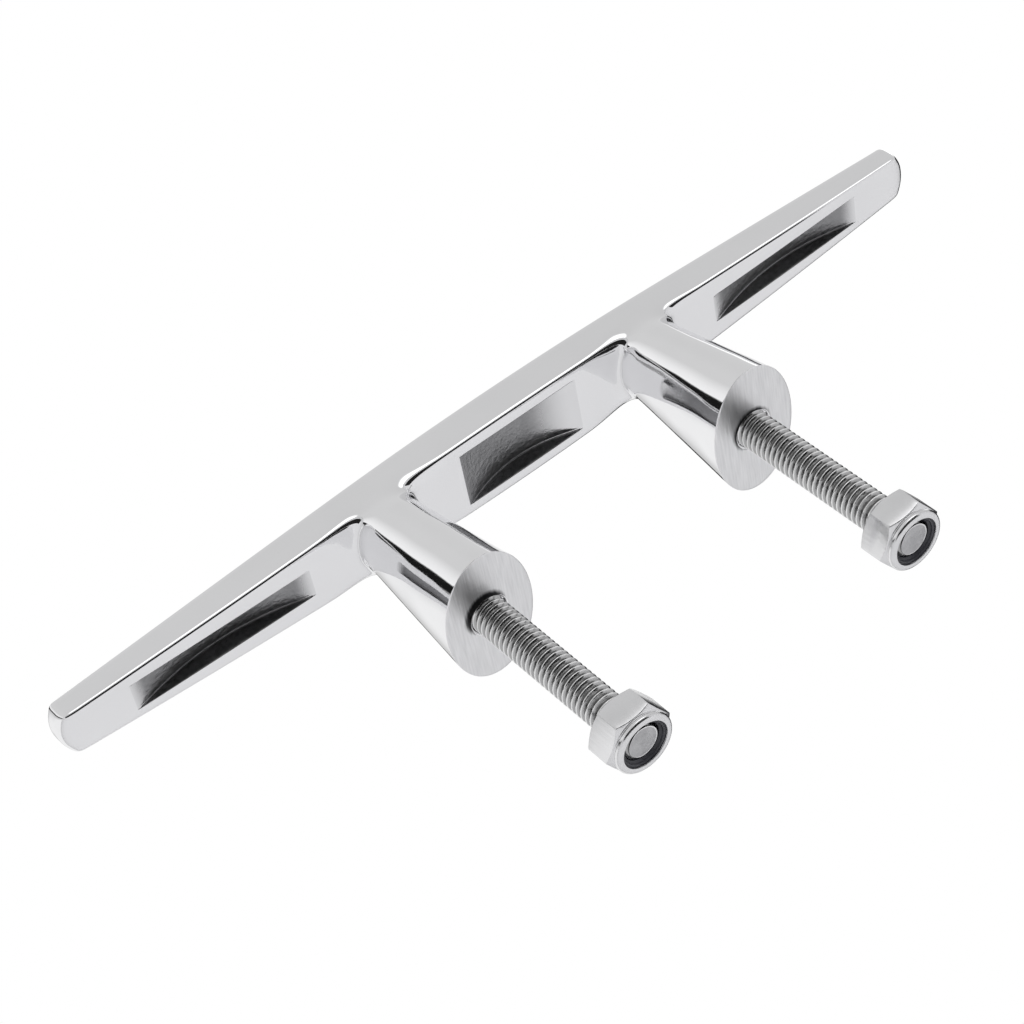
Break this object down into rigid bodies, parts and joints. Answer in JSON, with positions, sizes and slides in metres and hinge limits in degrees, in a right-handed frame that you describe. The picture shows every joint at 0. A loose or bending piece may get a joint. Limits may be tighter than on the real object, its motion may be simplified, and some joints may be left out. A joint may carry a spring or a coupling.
{
  "type": "deck cleat",
  "caption": "Low flat-topped cast deck cleat with tapering rounded horns on two flared legs, each with a threaded stud below and a nylon-insert lock nut.",
  "frame": {"origin": "on the deck plane, midway between the two legs", "axes": "+X along the horn, +Z away from the deck towards the bar, studs point to -Z"},
  "size_m": [0.165, 0.0236, 0.0645],
  "materials": {
    "polished_casting": "cast stainless steel, mirror polished, with brushed leg ends and rough as-cast pockets",
    "rolled_thread_steel": "satin stainless steel with a rolled thread",
    "nut_steel": "bright stainless steel, lightly polished flats",
    "black_nylon": "smooth black nylon"
  },
  "bodies": {
    "horn": {"horn": "polished_casting", "stud_left": "rolled_thread_steel", "stud_right": "rolled_thread_steel"},
    "insert_left": {"insert_left": "black_nylon"},
    "nut_left": {"nut_left": "nut_steel"},
    "insert_right": {"insert_right": "black_nylon"},
    "nut_right": {"nut_right": "nut_steel"}
  },
  "joints": [
    {"name": "nut_left_travel", "type": "slide", "parent": "horn", "child": "insert_left", "axis": [0, 0, 1], "range_m": [-0.006, 0.0277]},
    {"name": "nut_left_turn", "type": "hinge", "parent": "insert_left", "child": "nut_left", "pos_m": [-0.0254, 0, -0.031], "axis": [0, 0, 1], "range_deg": [-2196, 10008]},
    {"name": "nut_right_travel", "type": "slide", "parent": "horn", "child": "insert_right", "axis": [0, 0, 1], "range_m": [-0.006, 0.0277]},
    {"name": "nut_right_turn", "type": "hinge", "parent": "insert_right", "child": "nut_right", "pos_m": [0.0254, 0, -0.031], "axis": [0, 0, 1], "range_deg": [-2196, 10008]}
  ],
  "couplings": [
    {"joint": "nut_left_turn", "follows": "nut_left_travel", "rad_per_m": 6283.2},
    {"joint": "nut_right_turn", "follows": "nut_right_travel", "rad_per_m": 6283.2}
  ]
}
